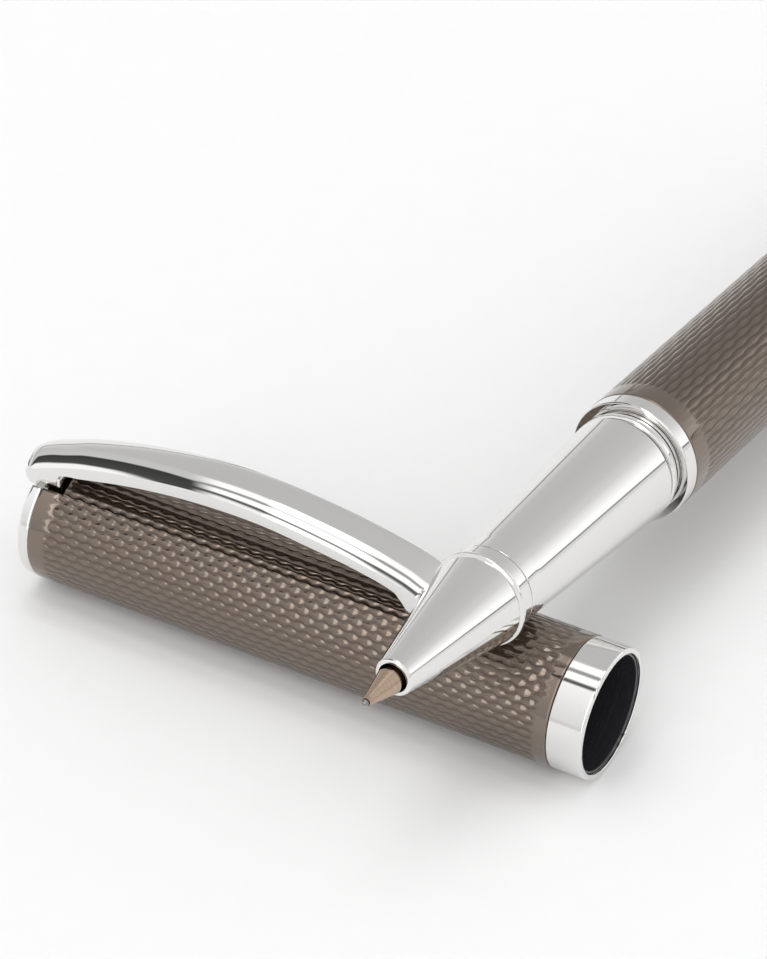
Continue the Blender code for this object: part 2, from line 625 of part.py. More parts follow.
def build_section_spigot():
    """Brass core behind the grip: seat, snap groove and the male thread."""
    low = THREAD_MID_RADIUS - THREAD_HEIGHT / 2
    groove = GRIP_REAR_RADIUS - SNAP_GROOVE_DEPTH
    front = GRIP_REAR - SPIGOT_SEAT_LENGTH + FIT_GAP
    face = GRIP_REAR + FIT_GAP
    ring_front = GRIP_REAR + (SNAP_ZONE_LENGTH - SNAP_RING_WIDTH) / 2
    ring_rear = ring_front + SNAP_RING_WIDTH
    collar_rear = BARREL_FRONT - FIT_GAP
    rear = THREAD_REAR + SPIGOT_TIP_LENGTH
    rows = plain_rows([(front, SPIGOT_RADIUS), (face, SPIGOT_RADIUS), (face, groove),
                       (ring_front, groove), (ring_front, SPIGOT_RADIUS + SNAP_SEAT_STEP),
                       (ring_rear, SPIGOT_RADIUS + SNAP_SEAT_STEP), (ring_rear, groove),
                       (collar_rear, groove), (collar_rear, low), (THREAD_FRONT, low)])
    rows += thread_rows(THREAD_MID_RADIUS, low)
    rows += plain_rows([(THREAD_REAR, low), (rear, low), (rear, SPIGOT_BORE),
                        (front, SPIGOT_BORE)])
    threaded("section_spigot", rows, BRASS)


def build_snap_ring():
    """Raised ring that clicks into the cap."""
    front = GRIP_REAR + (SNAP_ZONE_LENGTH - SNAP_RING_WIDTH) / 2 + FIT_GAP
    rear = front + SNAP_RING_WIDTH - 2 * FIT_GAP
    top = GRIP_REAR_RADIUS - SNAP_RING_SINK
    edge = SNAP_RING_EDGE
    bore = SPIGOT_RADIUS + SNAP_SEAT_STEP + FIT_GAP
    outer = [(front, top - edge), (front + edge, top), (rear - edge, top), (rear, top - edge)]
    turned("snap_ring", outer, [(front, bore), (rear, bore)], CHROME, pen_axis)


# ---------------------------------------------------------------- refill
def build_refill_tip():
    """Nickel silver cone that holds the ball, with its stem in the front plug."""
    lip = BALL_RADIUS * 1.3
    socket = BALL_RADIUS * 2.45
    stem_rear = TIP_LENGTH + STEM_LENGTH
    outer = [(lip, TIP_LIP_RADIUS), (TIP_LENGTH, TIP_BASE_RADIUS), (TIP_LENGTH, STEM_RADIUS),
             (stem_rear, STEM_RADIUS)]
    inner = [(lip, BALL_RADIUS * 1.1), (socket, BALL_RADIUS * 1.1), (socket, BALL_RADIUS * 0.6),
             (stem_rear, BALL_RADIUS * 0.6)]
    turned("refill_tip", outer, inner, NICKEL_SILVER, pen_axis, SMALL_SEGMENTS)


def build_writing_ball():
    ball = bmesh.new()
    bmesh.ops.create_uvsphere(ball, u_segments=16, v_segments=10, radius=BALL_RADIUS)
    piece = mesh_from("writing_ball", ball, CARBIDE, pen_axis)
    piece.location = (0.0, 0.0, BALL_RADIUS)


def build_refill_front_plug():
    """Black plastic plug that joins the tip to the refill tube."""
    front = REFILL_SHOULDER + FIT_GAP
    slim = nose_radius_at(REFILL_SHOULDER) - NOSE_WALL - RUN_GAP
    stem_rear = TIP_LENGTH + STEM_LENGTH + FIT_GAP
    seat = REFILL_RADIUS - REFILL_WALL - FIT_GAP
    outer = [(front, slim), (REFILL_TUBE_FRONT, REFILL_RADIUS - FIT_GAP),
             (REFILL_TUBE_FRONT, seat), (REFILL_PLUG_REAR, seat)]
    inner = [(front, STEM_RADIUS + FIT_GAP), (stem_rear, STEM_RADIUS + FIT_GAP),
             (stem_rear, WICK_RADIUS + FIT_GAP), (REFILL_PLUG_REAR, WICK_RADIUS + FIT_GAP)]
    turned("refill_front_plug", outer, inner, BLACK_PLASTIC, pen_axis, SMALL_SEGMENTS)


def build_feed_wick():
    """Fibre rod that leads ink from the reservoir to the tip."""
    front = TIP_LENGTH + STEM_LENGTH + 2 * FIT_GAP
    turned("feed_wick", [(front, WICK_RADIUS), (REFILL_PLUG_REAR, WICK_RADIUS)], None, FIBRE,
           pen_axis, SMALL_SEGMENTS)


def build_refill_tube():
    rear = REFILL_REAR - REAR_PLUG_LENGTH / 2
    front = REFILL_TUBE_FRONT + FIT_GAP
    turned("refill_tube", [(front, REFILL_RADIUS), (rear, REFILL_RADIUS)],
           [(front, REFILL_RADIUS - REFILL_WALL), (rear, REFILL_RADIUS - REFILL_WALL)],
           REFILL_STEEL, pen_axis, SMALL_SEGMENTS)


def build_ink_reservoir():
    """Fibre rod that fills the refill tube."""
    radius = REFILL_RADIUS - REFILL_WALL - FIT_GAP
    front = REFILL_PLUG_REAR + FIT_GAP
    rear = REFILL_REAR - REAR_PLUG_LENGTH - FIT_GAP
    turned("ink_reservoir", [(front, radius), (rear, radius)], None, FIBRE, pen_axis,
           SMALL_SEGMENTS)


def build_refill_end_plug():
    """White plug that closes the refill and carries the spring."""
    seat = REFILL_RADIUS - REFILL_WALL - FIT_GAP
    step = REFILL_REAR - REAR_PLUG_LENGTH / 2 + FIT_GAP
    outer = [(REFILL_REAR - REAR_PLUG_LENGTH, seat), (step, seat), (step, REFILL_RADIUS),
             (REFILL_REAR, REFILL_RADIUS)]
    turned("refill_end_plug", outer, None, WHITE_PLASTIC, pen_axis, SMALL_SEGMENTS)


def build_refill_spring():
    radius = REFILL_RADIUS - 3 * REFILL_SPRING_WIRE
    coil("refill_spring", radius, REFILL_SPRING_WIRE, REFILL_REAR + FIT_GAP,
         SEAT_FRONT - FIT_GAP, REFILL_SPRING_TURNS, STEEL, pen_axis)


def build_spring_seat():
    """Brass washer with a boss inside the spring."""
    boss = REFILL_RADIUS - 5 * REFILL_SPRING_WIRE
    outer = [(SEAT_FRONT - SEAT_BOSS_LENGTH, boss), (SEAT_FRONT, boss),
             (SEAT_FRONT, BARREL_BORE - RUN_GAP), (PLUG_FRONT - FIT_GAP, BARREL_BORE - RUN_GAP)]
    turned("spring_seat", outer, None, BRASS, pen_axis, SMALL_SEGMENTS)


# ---------------------------------------------------------------- barrel
def build_barrel_tube():
    """Engraved brass tube of the barrel."""
    front = TUBE_FRONT + FIT_GAP
    rear = TUBE_REAR - FIT_GAP
    turned("barrel_tube", [(front, BARREL_RADIUS), (rear, BARREL_RADIUS)],
           [(front, BARREL_BORE), (rear, BARREL_BORE)], LACQUER, pen_axis)


def build_barrel_trim_ring():
    """Chrome ring that the cap's mouth meets, with a lip inside the tube."""
    lip_rear = TUBE_FRONT + TRIM_LIP_LENGTH
    edge = TRIM_RING_EDGE
    front_radius = BARREL_RADIUS - TRIM_RING_STEP
    outer = [(BARREL_FRONT, front_radius - edge), (BARREL_FRONT + edge, front_radius),
             (TUBE_FRONT, BARREL_RADIUS), (TUBE_FRONT, INSERT_RADIUS), (lip_rear, INSERT_RADIUS)]
    bore = THREAD_MID_RADIUS + THREAD_PLAY + THREAD_HEIGHT / 2
    turned("barrel_trim_ring", outer, [(BARREL_FRONT, bore), (lip_rear, bore)], CHROME, pen_axis)


def build_barrel_thread_insert():
    """Brass insert with the female thread, pressed into the tube."""
    middle = THREAD_MID_RADIUS + THREAD_PLAY
    high = middle + THREAD_HEIGHT / 2
    front = TUBE_FRONT + TRIM_LIP_LENGTH + FIT_GAP
    rear = THREAD_REAR + INSERT_TAIL
    rows = plain_rows([(front, INSERT_RADIUS), (front, high), (THREAD_FRONT, high)])
    rows += thread_rows(middle, high)
    rows += plain_rows([(THREAD_REAR, high), (rear, high), (rear, INSERT_RADIUS)])
    threaded("barrel_thread_insert", rows, BRASS)


def build_barrel_end_plug():
    """Brass plug that closes the tube and backs the spring seat."""
    turned("barrel_end_plug", [(PLUG_FRONT, INSERT_RADIUS), (TUBE_REAR - FIT_GAP, INSERT_RADIUS)],
           None, BRASS, pen_axis)


def build_barrel_end_disc():
    """Chrome disc on the tail."""
    profile = disc_profile(TAIL, TUBE_REAR, BARREL_DISC_RADIUS, END_DISC_ROUND)
    turned("barrel_end_disc", profile, None, CHROME, pen_axis)


build_cap_tube()
build_cap_mouth_ring()
build_cap_liner()
build_inner_cap()
build_cap_end_disc()
build_cap_end_plug()
build_clip_pin()
build_clip_spring()
build_clip()
build_nose_cone()
build_neck_collar()
build_grip_sleeve()
build_section_spigot()
build_snap_ring()
build_refill_tip()
build_writing_ball()
build_refill_front_plug()
build_feed_wick()
build_refill_tube()
build_ink_reservoir()
build_refill_end_plug()
build_refill_spring()
build_spring_seat()
build_barrel_tube()
build_barrel_trim_ring()
build_barrel_thread_insert()
build_barrel_end_plug()
build_barrel_end_disc()


def stand_on_origin():
    """Shift the arrangement so that its box has its bottom centre at the origin."""
    bpy.context.view_layer.update()
    graph = bpy.context.evaluated_depsgraph_get()
    corners = []
    for piece in PARTS.objects:
        if piece.type in {"MESH", "CURVE"}:
            shown = piece.evaluated_get(graph)
            mesh = shown.to_mesh()
            corners += [shown.matrix_world @ vertex.co for vertex in mesh.vertices]
            shown.to_mesh_clear()
    low = Vector([min(corner[k] for corner in corners) for k in range(3)])
    high = Vector([max(corner[k] for corner in corners) for k in range(3)])
    middle = (low + high) / 2
    world.location = (-middle.x, -middle.y, -low.z)


stand_on_origin()
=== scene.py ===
import json
import math

import bmesh
import bpy
from mathutils import Matrix, Vector


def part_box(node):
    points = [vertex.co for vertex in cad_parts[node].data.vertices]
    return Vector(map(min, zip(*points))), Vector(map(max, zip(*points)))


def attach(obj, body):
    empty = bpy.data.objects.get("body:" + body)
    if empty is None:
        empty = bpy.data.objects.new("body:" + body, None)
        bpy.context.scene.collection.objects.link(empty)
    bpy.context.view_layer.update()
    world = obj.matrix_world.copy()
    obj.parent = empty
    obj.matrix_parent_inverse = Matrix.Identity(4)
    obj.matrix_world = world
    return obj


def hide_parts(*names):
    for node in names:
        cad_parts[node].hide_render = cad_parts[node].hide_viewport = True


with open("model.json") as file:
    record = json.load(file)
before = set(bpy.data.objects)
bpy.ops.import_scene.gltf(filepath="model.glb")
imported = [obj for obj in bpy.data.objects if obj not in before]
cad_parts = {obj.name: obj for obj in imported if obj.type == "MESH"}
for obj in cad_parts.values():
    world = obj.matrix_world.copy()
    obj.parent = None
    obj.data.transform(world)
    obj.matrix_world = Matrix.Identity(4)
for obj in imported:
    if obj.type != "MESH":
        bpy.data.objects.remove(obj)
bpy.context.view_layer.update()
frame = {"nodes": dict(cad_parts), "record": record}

joint_at = {joint["name"]: joint for joint in frame["record"]["behaviour"]["joints"]}
MM = 0.001

# ---------------------------------------------------------------- cap: engraved tube
# Drawn brass tube, engine-turned with rows of eye-shaped cells and finished in a taupe metallic
# lacquer.  The two rings are pressed into its ends, and its rear edge is notched for the clip.


def axis_frame(mouth, along, side):
    """Matrix with its Z along the given axis, its X towards a side and its origin at the mouth."""
    z_axis = Vector(along).normalized()
    y_axis = z_axis.cross(Vector(side)).normalized()
    x_axis = y_axis.cross(z_axis)
    turn = Matrix((x_axis, y_axis, z_axis)).transposed().to_4x4()
    return Matrix.Translation(mouth) @ turn


ring_low, ring_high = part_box("cap_mouth_ring")
cap_mouth = Vector((ring_high.x, (ring_low.y + ring_high.y) / 2, (ring_low.z + ring_high.z) / 2))
clip_turns_about = Vector(joint_at["clip_flex"]["axis"])
clip_side = clip_turns_about.cross(Vector((1.0, 0.0, 0.0)))
CAP = axis_frame(cap_mouth, (1.0, 0.0, 0.0), clip_side)

FIT = 0.06
CAP_RADIUS = 6.50
CAP_TUBE_BORE = 6.05
CAP_TUBE_FRONT = -3.56
CAP_TUBE_REAR = -58.95
CAP_ROWS = 52
CAP_CELL = 1.52          # length of one eye
CLIP_SLOT_HALF = 2.60
CLIP_SLOT_FRONT = -56.66


def lathe(points, closed=True, steps=128):
    """Spin a line of (station, radius) points in millimetres round the Z axis."""
    shape = bmesh.new()
    line = [shape.verts.new((radius * MM, 0.0, station * MM)) for station, radius in points]
    edges = [shape.edges.new(pair) for pair in zip(line, line[1:])]
    if closed:
        edges.append(shape.edges.new((line[-1], line[0])))
    bmesh.ops.spin(shape, geom=line + edges, cent=(0.0, 0.0, 0.0), axis=(0.0, 0.0, 1.0),
                   angle=math.tau, steps=steps, use_merge=True)
    bmesh.ops.remove_doubles(shape, verts=shape.verts, dist=0.0002 * MM)
    bmesh.ops.recalc_face_normals(shape, faces=shape.faces)
    return shape


def settle(name, shape, place, material, body, *nodes, crease=28.0):
    """Make the finished piece of a bmesh: in its place, smooth, on its body, for its CAD nodes."""
    bmesh.ops.transform(shape, matrix=place, verts=shape.verts)
    for face in shape.faces:
        face.smooth = True
    for edge in shape.edges:
        edge.smooth = edge.calc_face_angle(0.0) < math.radians(crease)
    mesh = bpy.data.meshes.new(name)
    shape.to_mesh(mesh)
    shape.free()
    mesh.materials.append(material)
    piece = bpy.data.objects.new(name, mesh)
    bpy.context.scene.collection.objects.link(piece)
    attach(piece, body)
    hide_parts(*nodes)
    return piece


def joined(shape, tool, operation="DIFFERENCE"):
    """Cut one bmesh with another, or weld them into one."""
    pair = []
    for part in (shape, tool):
        mesh = bpy.data.meshes.new("work")
        part.to_mesh(mesh)
        part.free()
        piece = bpy.data.objects.new("work", mesh)
        bpy.context.scene.collection.objects.link(piece)
        pair.append(piece)
    boolean = pair[0].modifiers.new("work", "BOOLEAN")
    boolean.operation = operation
    boolean.solver = "EXACT"
    boolean.object = pair[1]
    result = bmesh.new()
    result.from_object(pair[0], bpy.context.evaluated_depsgraph_get())
    for piece in pair:
        mesh = piece.data
        bpy.data.objects.remove(piece)
        bpy.data.meshes.remove(mesh)
    bmesh.ops.dissolve_degenerate(result, dist=0.0005 * MM, edges=result.edges)
    return result


def block(low, high):
    """A box between two corners in millimetres."""
    shape = bmesh.new()
    low, high = Vector(low) * MM, Vector(high) * MM
    fit = Matrix.Translation((low + high) / 2) @ Matrix.Diagonal((*(high - low), 1.0))
    bmesh.ops.create_cube(shape, size=1.0, matrix=fit)
    return shape


GROOVE_DEPTH = 0.13
GROOVE_HALF = 0.20
GROOVE_FADE = 0.35       # length over which a groove runs out at either end
GROOVE_LEAD = 0.20       # how far it starts ahead of the first eye
PER_ROW = 4              # points across a row: groove, its shoulder, crest, the next shoulder
SHOULDER_DROP = 0.30     # drop of a shoulder below the crest, as a share of the groove's depth
NECK_DROP = 0.27         # drop of the crest at an eye's narrow ends, likewise
WAVE = 0.11              # swing of a groove, as a share of the row's pitch


def engraved_tube(front, rear, bore, radius, rows, cell, plain_front, plain_rear, per_cell):
    """A tube whose grooves swing from side to side in opposite pairs, leaving eyes between them."""
    first, last = front - plain_front, rear + plain_rear
    cells = round((first - last) / cell)
    cell = (first - last) / cells
    ends = 0.05
    stations = [front, front - ends, front - 3 * ends]
    count = cells * per_cell
    stations += [first + 0.25] + [first - i * (first - last) / count for i in range(count + 1)]
    stations += [last - 0.25, rear + 3 * ends, rear + ends, rear]
    outer = [(s, radius - (ends if s in (front, rear) else 0.0)) for s in stations]
    shape = lathe(outer + [(rear, bore), (front, bore)], steps=PER_ROW * rows)
    pitch = math.tau * radius / rows
    # how deep each point sits in its groove; the lacquer reads it to paint shade into the cuts
    depth = shape.verts.layers.float.new("groove")
    for vert in shape.verts:
        distance = math.hypot(vert.co.x, vert.co.y)
        station = vert.co.z / MM
        if (distance < (radius - 0.02) * MM
                or not last - GROOVE_LEAD < station < first + GROOVE_LEAD):
            continue
        columns = PER_ROW * rows
        column = round(math.atan2(vert.co.y, vert.co.x) / math.tau * columns) % columns
        row, place = divmod(column, PER_ROW)
        swing = math.cos(math.tau * (first - station) / cell)
        from_end = min(first - station, station - last)
        reach = min(1.0, max(0.0, (from_end + GROOVE_LEAD) / GROOVE_FADE))
        here = row + WAVE * reach * (swing if row % 2 else -swing)
        there = row + 1 - WAVE * reach * (swing if row % 2 else -swing)
        half = min(GROOVE_HALF / pitch, 0.3 * (there - here))
        across = (here, here + half, (here + there) / 2, there - half)[place]
        narrow = (1.0 + 2.0 * WAVE - (there - here)) / (4.0 * WAVE)
        crest = NECK_DROP * narrow
        shoulder = SHOULDER_DROP + 0.7 * crest
        sunk = reach * (1.0, shoulder, crest, shoulder)[place]
        r = (radius - GROOVE_DEPTH * sunk) * MM
        angle = across / rows * math.tau
        vert.co.x, vert.co.y = r * math.cos(angle), r * math.sin(angle)
        vert[depth] = sunk
    return shape


def colour(code):
    """Linear colour of an sRGB hex value."""
    parts = [int(code[i:i + 2], 16) / 255 for i in (1, 3, 5)]
    linear = [p / 12.92 if p <= 0.04045 else ((p + 0.055) / 1.055) ** 2.4 for p in parts]
    return (*linear, 1.0)


def add(tree, kind, settings=None, **inputs):
    """Add a node, set its properties, and set or link its inputs: i0, i1 or a name with _."""
    node = tree.nodes.new(kind)
    for key, value in (settings or {}).items():
        setattr(node, key, value)
    for key, value in inputs.items():
        socket = node.inputs[int(key[1:])] if key[0] == "i" and key[1:].isdigit() else \
            node.inputs[key.replace("_", " ")]
        if isinstance(value, bpy.types.NodeSocket):
            tree.links.new(value, socket)
        else:
            socket.default_value = value
    return node


def finish_of(name, **settings):
    """A material with one Principled shader; returns the material, its node tree and the shader."""
    material = bpy.data.materials.new(name)
    material.use_nodes = True
    tree = material.node_tree
    shader = tree.nodes["Principled BSDF"]
    for key, value in settings.items():
        shader.inputs[key.replace("_", " ")].default_value = value
    return material, tree, shader


def on_piece(tree, place, across, along):
    """Coordinates on a piece's own axis, counted in units of the given sizes in millimetres."""
    coordinates = add(tree, "ShaderNodeTexCoord")
    return add(tree, "ShaderNodeMapping", {"vector_type": "TEXTURE"},
               Vector=coordinates.outputs["Object"], Location=place.translation,
               Rotation=place.to_euler(), Scale=(across * MM, across * MM, along * MM)).outputs[0]


def mapped(tree, value, low, high):
    """A 0 to 1 value brought between two others."""
    return add(tree, "ShaderNodeMapRange", None, Value=value, To_Min=low, To_Max=high).outputs[0]


def grain_of(tree, place, across, along, detail=2.0):
    """Noise on a piece's own axis with features of the given sizes in millimetres."""
    return add(tree, "ShaderNodeTexNoise", None, Vector=on_piece(tree, place, across, along),
               Scale=1.0, Detail=detail).outputs["Fac"]


def tinted(tree, shader, factor, first, second):
    """Base colour between two sRGB values."""
    tone = add(tree, "ShaderNodeMix", {"data_type": "RGBA"}, i0=factor, i6=colour(first),
               i7=colour(second))
    tree.links.new(tone.outputs[2], shader.inputs["Base Color"])


def glossed(tree, shader, factor, low, high):
    """Roughness between two values."""
    tree.links.new(mapped(tree, factor, low, high), shader.inputs["Roughness"])


def dented(tree, shader, height, strength, depth):
    """Fine relief of the given depth in millimetres."""
    bump = add(tree, "ShaderNodeBump", None, Strength=strength, Distance=depth * MM, Height=height)
    tree.links.new(bump.outputs[0], shader.inputs["Normal"])


# Metallic lacquer on brass: a warm taupe that mirrors softly, with painted shade that darkens it
# down in the cuts, and specks of uneven gloss about 0.4 mm across.
def taupe_lacquer(name, place):
    material, tree, shader = finish_of(name, Metallic=0.94, Roughness=0.2, Coat_Weight=0.25,
                                       Coat_Roughness=0.06)
    groove = add(tree, "ShaderNodeAttribute", {"attribute_name": "groove"}).outputs["Fac"]
    uneven = grain_of(tree, place, 0.4, 0.4, 3.0)
    # painted shade: the colour darkens with the groove depth, down in the cuts
    tinted(tree, shader, groove, "#80746A", "#62564D")
    glossed(tree, shader, uneven, 0.06, 0.13)
    dented(tree, shader, uneven, 0.12, 0.01)
    return material


tube = engraved_tube(CAP_TUBE_FRONT, CAP_TUBE_REAR, CAP_TUBE_BORE, CAP_RADIUS, CAP_ROWS, CAP_CELL,
                     1.4, 1.8, 9)
tube = joined(tube, block((CAP_RADIUS / 3, -CLIP_SLOT_HALF, CAP_TUBE_REAR - 1.0),
                          (CAP_RADIUS + 1.0, CLIP_SLOT_HALF, CLIP_SLOT_FRONT)))
piece = settle("cap_tube_engraved", tube, CAP, taupe_lacquer("taupe_lacquer_cap", CAP), "cap",
               "cap_tube", crease=50.0)

# ---------------------------------------------------------------- cap: mouth ring
# Turned brass ring, polished and chrome-plated.  Its sleeve is pressed into the tube and its
# front edge is rounded over where the grip goes in.
MOUTH_RING_RADIUS = 6.42
MOUTH_BORE = 5.87


def eased(points, ease, closed=True):
    """Round the corners of a line of points, each with a short arc between two held flats."""
    line = []
    for i, (station, radius) in enumerate(points):
        if not closed and i in (0, len(points) - 1):
            line.append((station, radius))
            continue
        here = Vector((station, radius))
        before = Vector(points[i - 1]) - here
        after = Vector(points[(i + 1) % len(points)]) - here
        size = min(ease, 0.24 * before.length, 0.24 * after.length)
        a, b = here + before.normalized() * size, here + after.normalized() * size
        line.append(tuple(here + before.normalized() * size * 1.8))
        for step in range(4):
            t = step / 3
            line.append(tuple((1 - t) ** 2 * a + 2 * t * (1 - t) * here + t * t * b))
        line.append(tuple(here + after.normalized() * size * 1.8))
    return line


# Chrome plate on polished brass: a near-perfect mirror, cool pale grey.  Buffing leaves waves a
# few millimetres long and far too shallow to feel, and hairlines that blur it a little.
def chrome_plate(name, place):
    material, tree, shader = finish_of(name, Base_Color=colour("#E6E5E3"), Metallic=1.0,
                                       Roughness=0.05)
    glossed(tree, shader, grain_of(tree, place, 0.25, 3.0), 0.03, 0.08)
    dented(tree, shader, grain_of(tree, place, 2.2, 6.0, 1.0), 0.25, 0.035)
    return material


cap_chrome = chrome_plate("chrome_plate_cap", CAP)
seat = -3.50 - 3.60
ring = lathe(eased([(seat, MOUTH_BORE), (seat, 5.99), (-3.50, 5.99), (-3.50, MOUTH_RING_RADIUS),
                    (-0.16, MOUTH_RING_RADIUS), (0.0, MOUTH_RING_RADIUS - 0.14),
                    (0.0, MOUTH_BORE)], 0.10))
piece = settle("cap_mouth_ring_turned", ring, CAP, cap_chrome, "cap", "cap_mouth_ring")

# ---------------------------------------------------------------- cap: liner and inner cap
# Black ABS sleeve that guides the grip, and the cup behind it that seals on the nose bead.
# The sleeve's bore was sized with a reamer, which leaves fine rings all the way in.
def black_plastic(name, place):
    """Black ABS: near black, satin, with rings 0.25 mm apart left by the reamer."""
    material, tree, shader = finish_of(name, Base_Color=colour("#2E2E31"), Roughness=0.3,
                                       Specular_IOR_Level=0.7)
    rings = grain_of(tree, place, 9.0, 0.25, 3.0)
    glossed(tree, shader, rings, 0.12, 0.38)
    dented(tree, shader, rings, 0.8, 0.05)
    return material


cap_black = black_plastic("black_abs_cap", CAP)
LINER_BORE = 5.62
liner_step = seat - FIT
liner = lathe(eased([(-51.25, LINER_BORE), (-51.25, 5.99), (liner_step, 5.99),
                     (liner_step, MOUTH_BORE - FIT), (-0.30, MOUTH_BORE - FIT),
                     (-0.30, LINER_BORE)], 0.08))
piece = settle("cap_liner_sleeve", liner, CAP, cap_black, "cap", "cap_liner")
frame["nodes"]["inner_cap"].material_slots[0].material = cap_black

# ---------------------------------------------------------------- cap: end plug, end disc, pin
# A turned brass plug closes the tube and holds the clip's cross pin and spring.  The chrome end
# disc covers it, with a slot in its rim for the clip's heel.
def turned_brass(name, place):
    """Free-cutting brass: yellow, satin, with tool rings 0.12 mm apart and a few dull patches."""
    material, tree, shader = finish_of(name, Metallic=1.0, Roughness=0.28)
    rings = grain_of(tree, place, 12.0, 0.12)
    tinted(tree, shader, grain_of(tree, place, 1.5, 1.5, 3.0), "#C9A55C", "#A98443")
    glossed(tree, shader, rings, 0.2, 0.4)
    dented(tree, shader, rings, 0.4, 0.02)
    return material


def spring_wire(name, place):
    """Cold-drawn steel wire: grey, bright, with draw marks about 0.05 mm apart."""
    material, tree, shader = finish_of(name, Base_Color=colour("#A9AAAC"), Metallic=1.0)
    glossed(tree, shader, grain_of(tree, place, 0.05, 0.4), 0.2, 0.38)
    return material


frame["nodes"]["cap_end_plug"].material_slots[0].material = turned_brass("turned_brass_cap", CAP)
cap_steel = spring_wire("drawn_steel_cap", CAP)
for node in ("clip_pin", "clip_spring"):
    frame["nodes"][node].material_slots[0].material = cap_steel

CAP_END = -60.31
DISC_RADIUS = 6.42
disc = lathe(eased([(CAP_END, 0.0), (CAP_END, DISC_RADIUS - 0.30), (CAP_END + 0.30, DISC_RADIUS),
                    (-59.01, DISC_RADIUS), (-59.01, 0.0)], 0.28, closed=False), closed=False)
disc = joined(disc, block((5.0, -CLIP_SLOT_HALF, CAP_END - 1.0), (8.0, CLIP_SLOT_HALF, -58.0)))
piece = settle("cap_end_disc_turned", disc, CAP, cap_chrome, "cap", "cap_end_disc", crease=35.0)

# ---------------------------------------------------------------- clip
# Cast zinc, ground, polished and chrome-plated: an arch with a crowned back, flat flanks and a
# foot that bears on the tube.  A leg under its root goes into the end plug and turns on the pin.
CLIP_REACH = 43.60
CLIP_START = -0.018      # the root stands a little past the end disc
CLIP_HALF_WIDTH = 2.18   # at the root
CLIP_WIDENING = 0.30     # added to it towards the foot
CLIP_CROWN = 0.55        # height of the crown over its edges, with 0.50 more at the root
FOOT_ROUND_FROM = 0.955
CLIP_TOP = ((CLIP_START, 1.45), (0.0, 2.05), (0.055, 3.15), (0.124, 4.30), (0.239, 5.65),
            (0.353, 6.55), (0.468, 7.05), (0.583, 7.00), (0.697, 6.45), (0.812, 5.55),
            (0.927, 4.15), (1.0, 2.60))
CLIP_UNDER = ((CLIP_START, -0.60), (0.0, -1.10), (0.062, -1.10), (0.066, 0.70), (0.080, 1.45),
              (0.124, 1.95), (0.239, 3.35), (0.353, 4.35), (0.468, 4.90), (0.583, 5.00),
              (0.697, 4.45), (0.812, 3.70), (0.905, 2.55), (0.922, 1.60), (0.936, 0.50),
              (0.946, 0.20), (0.966, 0.20), (0.986, 0.80), (1.0, 1.55))


def height_at(curve, share):
    """Height of a curve through the given points, smooth from one to the next."""
    for i in range(len(curve) - 1):
        if share <= curve[i + 1][0]:
            break
    p0, p1, p2, p3 = (curve[max(0, min(len(curve) - 1, i + k))] for k in (-1, 0, 1, 2))
    span = p2[0] - p1[0]
    t = min(1.0, max(0.0, (share - p1[0]) / span))
    m1 = (p2[1] - p0[1]) / max(1e-6, p2[0] - p0[0]) * span
    m2 = (p3[1] - p1[1]) / max(1e-6, p3[0] - p1[0]) * span
    return ((2 * t ** 3 - 3 * t ** 2 + 1) * p1[1] + (t ** 3 - 2 * t ** 2 + t) * m1
            + (3 * t ** 2 - 2 * t ** 3) * p2[1] + (t ** 3 - t ** 2) * m2)


def clip_section(share):
    """Points round the clip at a share of its reach: flat below, flat flanks, crowned above."""
    top = height_at(CLIP_TOP, share)
    low = min(height_at(CLIP_UNDER, share), top - 0.5)
    half = CLIP_HALF_WIDTH + CLIP_WIDENING * min(1.0, share / 0.9)
    if share > FOOT_ROUND_FROM:
        half -= 0.9 * ((share - FOOT_ROUND_FROM) / (1.0 - FOOT_ROUND_FROM)) ** 2
    root = max(0.0, 1.0 - max(0.0, share) / 0.42)
    crown = min(CLIP_CROWN + 0.50 * root, 0.45 * (top - low))
    if share < -0.01:
        half -= 0.15
    ease = 0.12
    points = [(-half + ease, low), (half - ease, low), (half, low + ease)]
    points.append((half, top - crown - ease))
    for step in range(17):
        lean = -1.0 + step / 8
        rise = crown * (1.0 - abs(lean) ** (2.4 - 0.8 * root))
        points.append((-lean * (half - 0.04), top - crown + rise))
    points += [(-half, top - crown - ease), (-half, low + ease)]
    return [Vector(((CAP_RADIUS + height) * MM, across * MM,
                    (CAP_END + share * CLIP_REACH) * MM)) for across, height in points]


clip = bmesh.new()
order = [clip.verts.new(point) for point in clip_section(CLIP_START)]
end_face = clip.faces.new(order)
shares = [CLIP_START, -0.015, -0.009, 0.0, 0.006, 0.014, 0.024, 0.034, 0.044, 0.054, 0.061, 0.0635,
          0.067, 0.072, 0.08]
shares += [0.08 + 0.825 * i / 72 for i in range(1, 73)]
shares += [0.905 + 0.095 * i / 24 for i in range(1, 25)]
for share in shares[1:]:
    grown = bmesh.ops.extrude_face_region(clip, geom=[end_face])["geom"]
    if share != shares[1]:
        bmesh.ops.delete(clip, geom=[end_face], context="FACES_ONLY")
    end_face = next(item for item in grown if isinstance(item, bmesh.types.BMFace))
    fresh = {tuple(vert.co): vert for vert in grown if isinstance(vert, bmesh.types.BMVert)}
    order = [fresh[tuple(vert.co)] for vert in order]
    for vert, point in zip(order, clip_section(share)):
        vert.co = point
bmesh.ops.recalc_face_normals(clip, faces=clip.faces)

